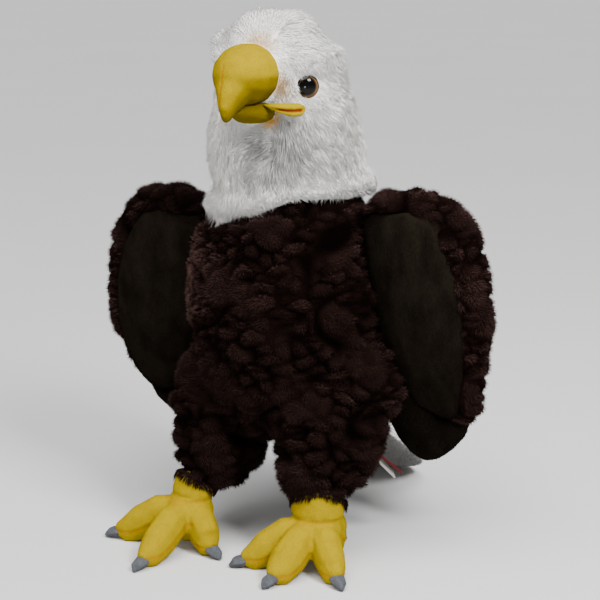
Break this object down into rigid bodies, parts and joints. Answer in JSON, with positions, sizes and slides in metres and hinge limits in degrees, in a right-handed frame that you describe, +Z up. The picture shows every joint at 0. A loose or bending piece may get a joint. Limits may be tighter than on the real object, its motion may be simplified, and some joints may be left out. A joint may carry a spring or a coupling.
{
  "type": "plush toy bald eagle",
  "caption": "Stuffed plush bald eagle standing on puffed feet and tail, wings half open, white long-pile hood, hooked yellow plush beak, grey felt claws.",
  "frame": {"origin": "middle of the bounding box's base, on the surface the toy stands on", "axes": "+Z up, the bird faces -Y, its left side is +X"},
  "size_m": [0.333, 0.3094, 0.4114],
  "materials": {
    "white_pile": "long soft white plush pile, about 15 mm, brushed and slightly clumped",
    "brown_pile": "dark brown plush pile, about 9 mm, crushed into small clumps with dark creases",
    "wing_lining": "smooth short-pile dark brown plush, soft sheen",
    "yellow_plush": "very short-pile golden yellow plush with sewn seams",
    "grey_felt": "matt grey felt",
    "tail_plush": "short white plush pile",
    "eye_plastic": "glossy safety eye with an amber iris and a black pupil",
    "label_white": "blank white satin ribbon label",
    "label_red": "blank red satin ribbon label"
  },
  "bodies": {
    "root": {"head": "white_pile", "neck": "white_pile", "trunk": "brown_pile", "thigh_left": "brown_pile", "ankle_left": "yellow_plush", "foot_left": "yellow_plush", "claw_left_inner": "grey_felt", "claw_left_middle": "grey_felt", "claw_left_outer": "grey_felt", "claw_left_hind": "grey_felt", "thigh_right": "brown_pile", "ankle_right": "yellow_plush", "foot_right": "yellow_plush", "claw_right_inner": "grey_felt", "claw_right_middle": "grey_felt", "claw_right_outer": "grey_felt", "claw_right_hind": "grey_felt", "wing_left_arm": "brown_pile", "wing_left_lining": "wing_lining", "wing_left_tip": "wing_lining", "wing_right_arm": "brown_pile", "wing_right_lining": "wing_lining", "wing_right_tip": "wing_lining", "tail": "tail_plush", "label_white": "label_white", "label_red": "label_red", "beak_upper": "yellow_plush", "beak_lower": "yellow_plush", "gape_left": "yellow_plush", "eye_left": "eye_plastic", "gape_right": "yellow_plush", "eye_right": "eye_plastic"}
  },
  "joints": []
}
